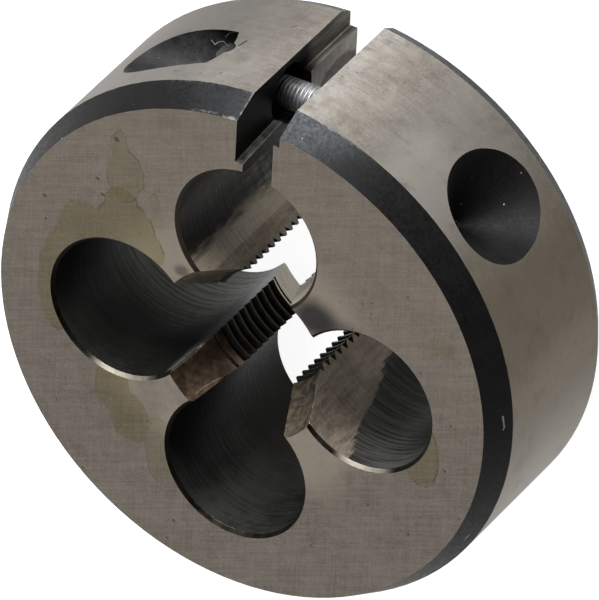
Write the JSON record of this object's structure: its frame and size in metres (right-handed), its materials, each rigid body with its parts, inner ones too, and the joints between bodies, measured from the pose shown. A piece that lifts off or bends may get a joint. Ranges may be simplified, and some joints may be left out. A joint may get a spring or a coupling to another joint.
{
  "type": "round threading die",
  "caption": "Round split threading die: a steel disc with chip holes round a threaded middle, and a small screw that sets the width of its split.",
  "frame": {"origin": "middle of the back face, on the die's axis", "axes": "+Z along the die's axis towards the face that starts the cut, +Y towards the split, and the screw lies along X with its slotted end on the -X side"},
  "size_m": [0.0254, 0.0254, 0.0095],
  "materials": {
    "hardened_steel": "ground steel on the faces and the rim, blackened in the holes, the slot and the chamfers",
    "screw_steel": "plain turned steel, satin"
  },
  "bodies": {
    "die": {"die_body": "hardened_steel"},
    "screw": {"adjusting_screw": "screw_steel"}
  },
  "joints": [
    {"name": "screw_turn", "type": "hinge", "parent": "die", "child": "screw", "pos_m": [0, 0.01103, 0.0052], "axis": [-1, 0, 0], "range_deg": [-180, 180]}
  ]
}
